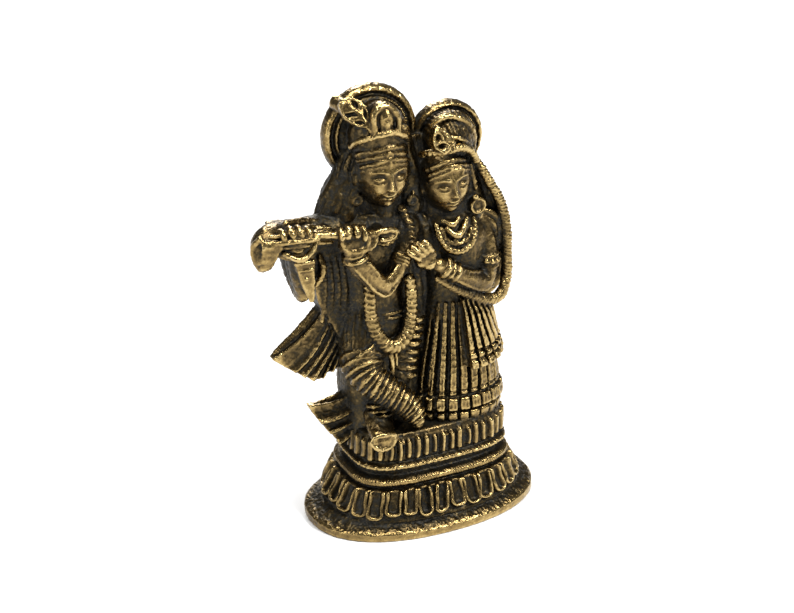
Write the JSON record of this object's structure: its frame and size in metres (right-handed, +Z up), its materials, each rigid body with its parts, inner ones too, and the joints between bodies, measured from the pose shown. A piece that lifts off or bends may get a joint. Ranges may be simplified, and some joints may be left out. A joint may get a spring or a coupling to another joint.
{
  "type": "radha krishna statue",
  "caption": "Small cast brass pair of standing figures, one playing a flute, on an oval lotus plinth with a flat underside.",
  "frame": {"origin": "middle of the flat underside of the oval plinth", "axes": "+Z up through the pair, -Y to the front that the figures face, +X to the viewer's right when facing the front"},
  "size_m": [0.0437, 0.0226, 0.0641],
  "materials": {
    "antique_brass": "antique: golden and rubbed on the raised fronts, near-black patina in the recesses, dull brown sides"
  },
  "bodies": {
    "root": {"radha_krishna_casting": "antique_brass"}
  },
  "joints": []
}
